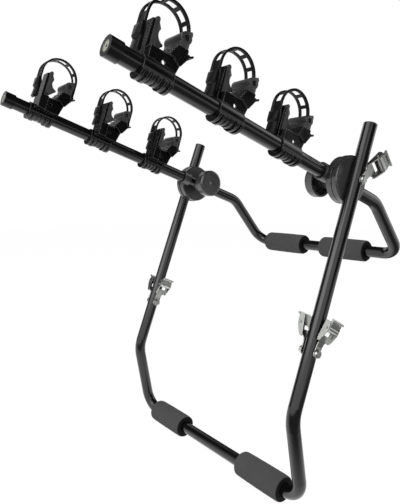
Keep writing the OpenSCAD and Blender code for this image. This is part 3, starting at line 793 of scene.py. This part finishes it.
class RACK_OT_mouldings(bpy.types.Operator):
    """Finishes the plastic of hubs, knobs, caps, plugs and cradles"""

    bl_idname = "rack.mouldings"
    bl_label = "Mouldings"

    def execute(self, context):
        black = ["upright_plugs"]
        grey = []
        for side in SIDES:
            black += [f"{side}_cradle_{number}" for number in CRADLES]
            grey += [f"{side}_{name}" for name in ("outer_disc", "inner_disc", "neck", "knob")]
        dress(black, moulding())
        dress(grey, hub_plastic())
        dress([f"{side}_arm_cap" for side in SIDES], cap_plastic())
        return {"FINISHED"}


class RACK_OT_buckles(bpy.types.Operator):
    """Finishes the plated steel of buckles, bolts and nuts"""

    bl_idname = "rack.buckles"
    bl_label = "Plated steel"

    def execute(self, context):
        names = ["hub_bolts", "buckle_bolts"]
        for side in SIDES:
            names.append(f"{side}_knob_nut")
            for place in BUCKLES:
                names += [f"{side}_{place}_{part}" for part in ("buckle", "pin", "lever")]
        dress(names, zinc())
        return {"FINISHED"}


class RACK_OT_studio(bpy.types.Operator):
    """Sets up floor, lamps, background and camera"""

    bl_idname = "rack.studio"
    bl_label = "Studio"

    # Turn to the viewer's left from the camera's side, and half width, in degrees
    panel_places = ((31, 64), (-112, 16), (155, 18))
    panel_fade = 7
    ceiling_fade = 0.25

    # To the viewer's right, ahead and up from the rack's middle, and size, in metres
    key_place = (-1.5, -1.3, 1.6, 2.4)
    fill_place = (1.9, -0.6, 0.7, 2.0)

    # Metres from the middle over which the floor's brightness in gloss changes
    sheen_right = (0.3, 0.65)
    sheen_front = (0.22, 0.48)
    sheen_far = (1.2, 1.8)
    floor_radius = 9
    floor_drop = 0.001
    floor_colour = (0.86, 0.86, 0.86, 1)
    floor_glow = 1.03
    floor_share = 0.93
    white = (1, 1, 1, 1)

    def execute(self, context):
        studio = context.scene.rack_studio
        ahead = Vector((
            -math.sin(studio.azimuth) * math.cos(studio.dip),
            math.cos(studio.azimuth) * math.cos(studio.dip), -math.sin(studio.dip)))
        self.camera(context.scene, studio, ahead)
        self.lamps(context.scene, studio, ahead)
        self.floor(context.scene, studio, ahead)
        self.background(context.scene, studio, ahead)
        context.scene.view_settings.view_transform = "Standard"
        return {"FINISHED"}

    def camera(self, scene, studio, ahead):
        data = bpy.data.cameras.new("Camera")
        data.sensor_width = 36
        data.lens = studio.lens
        camera = bpy.data.objects.new("Camera", data)
        camera.location = studio.place
        camera.rotation_euler = ahead.to_track_quat("-Z", "Y").to_euler()
        scene.collection.objects.link(camera)
        scene.camera = camera

    def lamps(self, scene, studio, ahead):
        middle = (Vector(CAD_BOX[0]) + Vector(CAD_BOX[1])) / 2
        up = Vector((0, 0, 1))
        right = ahead.cross(up).normalized()
        lamps = {"Key lamp": (self.key_place, studio.key),
                 "Fill lamp": (self.fill_place, studio.fill)}
        for name, ((aside, forward, height, size), power) in lamps.items():
            place = middle + right * aside + ahead * forward + up * height
            data = bpy.data.lights.new(name, "AREA")
            data.size = size
            data.energy = power
            lamp = bpy.data.objects.new(name, data)
            lamp.location = place
            lamp.visible_glossy = name == "Key lamp"
            lamp.rotation_euler = (middle - place).to_track_quat("-Z", "Y").to_euler()
            scene.collection.objects.link(lamp)

    def seen(self, tree, *kinds):
        """1 for the named kinds of ray."""
        path = node(tree, "LightPath")
        total = path.outputs[f"Is {kinds[0]} Ray"]
        for kind in kinds[1:]:
            added = node(tree, "Math", operation="ADD", use_clamp=True)
            tree.links.new(total, added.inputs[0])
            tree.links.new(path.outputs[f"Is {kind} Ray"], added.inputs[1])
            total = added.outputs[0]
        return total

    def floor(self, scene, studio, ahead):
        """White to the camera, with its own brightness in gloss."""
        mesh = bpy.data.meshes.new("Floor")
        bm = bmesh.new()
        bmesh.ops.create_circle(bm, cap_ends=True, radius=self.floor_radius, segments=96)
        bmesh.ops.translate(bm, verts=bm.verts, vec=(0, 0, CAD_BOX[0][2] - self.floor_drop))
        bm.to_mesh(mesh)
        bm.free()
        floor = bpy.data.objects.new("Floor", mesh)
        scene.collection.objects.link(floor)
        made = bpy.data.materials.new("Pale floor")
        made.use_nodes = True
        tree = made.node_tree
        tree.nodes.clear()
        diffuse = node(tree, "BsdfDiffuse", Color=self.floor_colour)
        sheen = node(tree, "Emission", Color=self.white)
        pale = node(tree, "MixShader")
        tree.links.new(self.floor_gloss(tree, studio, ahead), sheen.inputs["Strength"])
        tree.links.new(self.seen(tree, "Glossy"), pale.inputs[0])
        join(tree, diffuse, 0, pale, 1)
        join(tree, sheen, 0, pale, 2)
        glow = node(tree, "Emission", Color=self.white, Strength=self.floor_glow)
        share = node(tree, "Math", operation="MULTIPLY")
        share.inputs[1].default_value = self.floor_share
        mixed = node(tree, "MixShader")
        output = node(tree, "OutputMaterial")
        tree.links.new(self.seen(tree, "Camera", "Transmission"), share.inputs[0])
        join(tree, share, 0, mixed, 0)
        join(tree, pale, 0, mixed, 1)
        join(tree, glow, 0, mixed, 2)
        join(tree, mixed, 0, output, "Surface")
        mesh.materials.append(made)

    def floor_gloss(self, tree, studio, ahead):
        """Floor in gloss: bright below the rack, dim before it and right of it."""
        right = ahead.cross(Vector((0, 0, 1))).normalized()
        front = Vector((-ahead.x, -ahead.y, 0)).normalized()
        place = node(tree, "TexCoord")
        edges = []
        for way, span, first, last in (
                (right, self.sheen_right, studio.floor_sheen, studio.floor_dim),
                (front, self.sheen_front, studio.floor_sheen, studio.floor_dim),
                (right, self.sheen_far, studio.floor_dim, 1.0)):
            along = node(tree, "VectorMath", operation="DOT_PRODUCT")
            along.inputs[1].default_value = way
            edge = self.ramp(tree, *span, first, last)
            join(tree, place, "Object", along, 0)
            join(tree, along, "Value", edge, "Value")
            edges.append(edge)
        least = both(tree, "MINIMUM", edges[0], edges[1])
        return both(tree, "MAXIMUM", least, edges[2]).outputs[0]

    def background(self, scene, studio, ahead):
        """White backdrop. Gloss shows it as upright panels with dark gaps under a dark ceiling."""
        world = bpy.data.worlds.new("Studio")
        world.use_nodes = True
        tree = world.node_tree
        tree.nodes.clear()
        light = node(tree, "Background", Color=self.white, Strength=studio.ambient)
        gloss = node(tree, "Background", Color=self.white)
        white = node(tree, "Background", Color=self.white, Strength=1.0)
        reflected = node(tree, "MixShader")
        mixed = node(tree, "MixShader")
        output = node(tree, "OutputWorld")
        tree.links.new(self.panels(tree, studio, ahead), gloss.inputs["Strength"])
        tree.links.new(self.seen(tree, "Glossy"), reflected.inputs[0])
        join(tree, light, 0, reflected, 1)
        join(tree, gloss, 0, reflected, 2)
        tree.links.new(self.seen(tree, "Camera", "Transmission"), mixed.inputs[0])
        join(tree, reflected, 0, mixed, 1)
        join(tree, white, 0, mixed, 2)
        join(tree, mixed, 0, output, "Surface")
        scene.world = world

    def panels(self, tree, studio, ahead):
        """Brightness of the backdrop in gloss: white panels between dark gaps, dark above."""
        way = node(tree, "TexCoord")
        level = node(tree, "VectorMath", operation="MULTIPLY")
        level.inputs[1].default_value = (1, 1, 0)
        flat = node(tree, "VectorMath", operation="NORMALIZE")
        split = node(tree, "SeparateXYZ")
        join(tree, way, "Generated", level, 0)
        join(tree, level, 0, flat, 0)
        join(tree, way, "Generated", split, 0)
        total = None
        for turn, half in self.panel_places:
            centre = Matrix.Rotation(math.radians(180 - turn), 3, "Z") @ ahead
            towards = node(tree, "VectorMath", operation="DOT_PRODUCT")
            towards.inputs[1].default_value = Vector((centre.x, centre.y, 0)).normalized()
            join(tree, flat, 0, towards, 0)
            dark, bright = (math.cos(math.radians(half + fade))
                            for fade in (self.panel_fade, -self.panel_fade))
            edge = self.ramp(tree, dark, bright, studio.panel_gap, studio.panel)
            join(tree, towards, "Value", edge, "Value")
            total = edge if total is None else both(tree, "MAXIMUM", total, edge)
        top = studio.panel_top
        ceiling = self.ramp(tree, top, top + self.ceiling_fade, 1.0, studio.panel_gap)
        join(tree, split, "Z", ceiling, "Value")
        return both(tree, "MULTIPLY", total, ceiling).outputs[0]

    def ramp(self, tree, low, high, first, last):
        """Smooth change from the first value to the last between two values of its input."""
        return node(tree, "MapRange", interpolation_type="SMOOTHSTEP",
                    From_Min=low, From_Max=high, To_Min=first, To_Max=last)


OPERATORS = (
    RACK_OT_tubes, RACK_OT_mouldings, RACK_OT_buckles, RACK_OT_foam_pads,
    RACK_OT_cushions, RACK_OT_straps, RACK_OT_studio,
)


class RACK_PT_sidebar(bpy.types.Panel):
    """Lists the steps that dress the rack"""

    bl_label = "Bike rack"
    bl_space_type = "VIEW_3D"
    bl_region_type = "UI"
    bl_category = "Rack"

    def draw(self, context):
        for step in OPERATORS:
            self.layout.operator(step.bl_idname)
        for settings in ("rack_sizes", "rack_finishes", "rack_studio"):
            box = self.layout.box()
            values = getattr(context.scene, settings)
            for name in values.bl_rna.properties.keys():
                if name not in ("rna_type", "name"):
                    box.prop(values, name)


SETTINGS = {"rack_sizes": RackSizes, "rack_finishes": RackFinishes, "rack_studio": RackStudio}


def register():
    for kind in (*SETTINGS.values(), *OPERATORS, RACK_PT_sidebar):
        bpy.utils.register_class(kind)
    for name, kind in SETTINGS.items():
        setattr(bpy.types.Scene, name, PointerProperty(type=kind))


def unregister():
    for name in SETTINGS:
        delattr(bpy.types.Scene, name)
    for kind in (RACK_PT_sidebar, *reversed(OPERATORS), *SETTINGS.values()):
        bpy.utils.unregister_class(kind)


def main():
    register()
    for step in OPERATORS:
        family, name = step.bl_idname.split(".")
        getattr(getattr(bpy.ops, family), name)()


if __name__ == "__main__":
    main()
